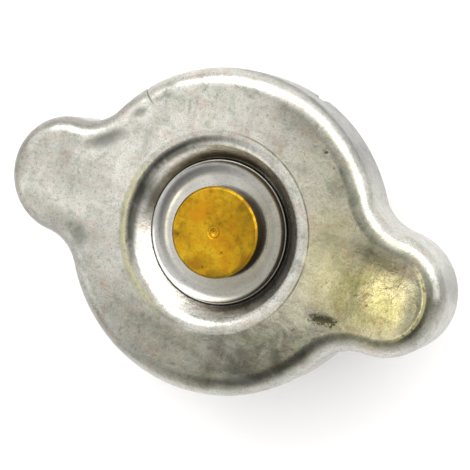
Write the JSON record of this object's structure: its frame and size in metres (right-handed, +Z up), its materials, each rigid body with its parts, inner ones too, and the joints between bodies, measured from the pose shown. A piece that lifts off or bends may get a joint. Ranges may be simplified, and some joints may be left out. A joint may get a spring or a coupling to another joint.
{
  "type": "radiator cap",
  "caption": "Pressed-steel bayonet radiator pressure cap with two finger ears, a brass centre rivet, and a sprung pressure valve with a vacuum valve under it.",
  "frame": {"origin": "on the cap's axis, in the plane of the pressure seal's lower face, which is the neck's inner seat and the face the loose cap stands on", "axes": "+Z up along the cap's axis, out of the neck; +X towards one finger ear; the bayonet tabs lie at +Y and -Y"},
  "size_m": [0.0822, 0.056, 0.029],
  "materials": {
    "tinned_steel": "worn dull tin plate",
    "plated_washer": "satin plating",
    "rivet_brass": "turned and tarnished",
    "valve_brass": "pressed, lightly tarnished",
    "sprung_disc": "bright rolled strip",
    "spring_wire": "drawn wire, lightly oiled",
    "seal_rubber": "matt moulded"
  },
  "bodies": {
    "cap": {"cap_shell": "tinned_steel", "crown_washer": "plated_washer"},
    "carrier": {"centre_rivet": "rivet_brass", "spring_diaphragm": "sprung_disc", "neck_gasket": "seal_rubber", "spring_seat": "plated_washer", "stem_bell": "plated_washer", "pressure_spring": "spring_wire"},
    "pressure_valve": {"valve_stem": "valve_brass", "valve_plate": "valve_brass", "pressure_seal": "seal_rubber", "seal_washer": "valve_brass", "vacuum_spring": "spring_wire"},
    "vacuum_valve": {"vacuum_valve": "valve_brass", "vacuum_spring_cup": "valve_brass"}
  },
  "joints": [
    {"name": "valve_swivel", "type": "hinge", "parent": "cap", "child": "carrier", "pos_m": [0, 0, 0.0245], "axis": [0, 0, 1], "continuous": true},
    {"name": "pressure_lift", "type": "slide", "parent": "carrier", "child": "pressure_valve", "axis": [0, 0, 1], "range_m": [0, 0.005], "stiffness_N_per_m": 3500, "springref_m": -0.004, "deforming": ["pressure_spring"]},
    {"name": "vacuum_drop", "type": "slide", "parent": "pressure_valve", "child": "vacuum_valve", "axis": [0, 0, -1], "range_m": [0, 0.0014], "stiffness_N_per_m": 250, "springref_m": -0.003, "deforming": ["vacuum_spring"]}
  ]
}
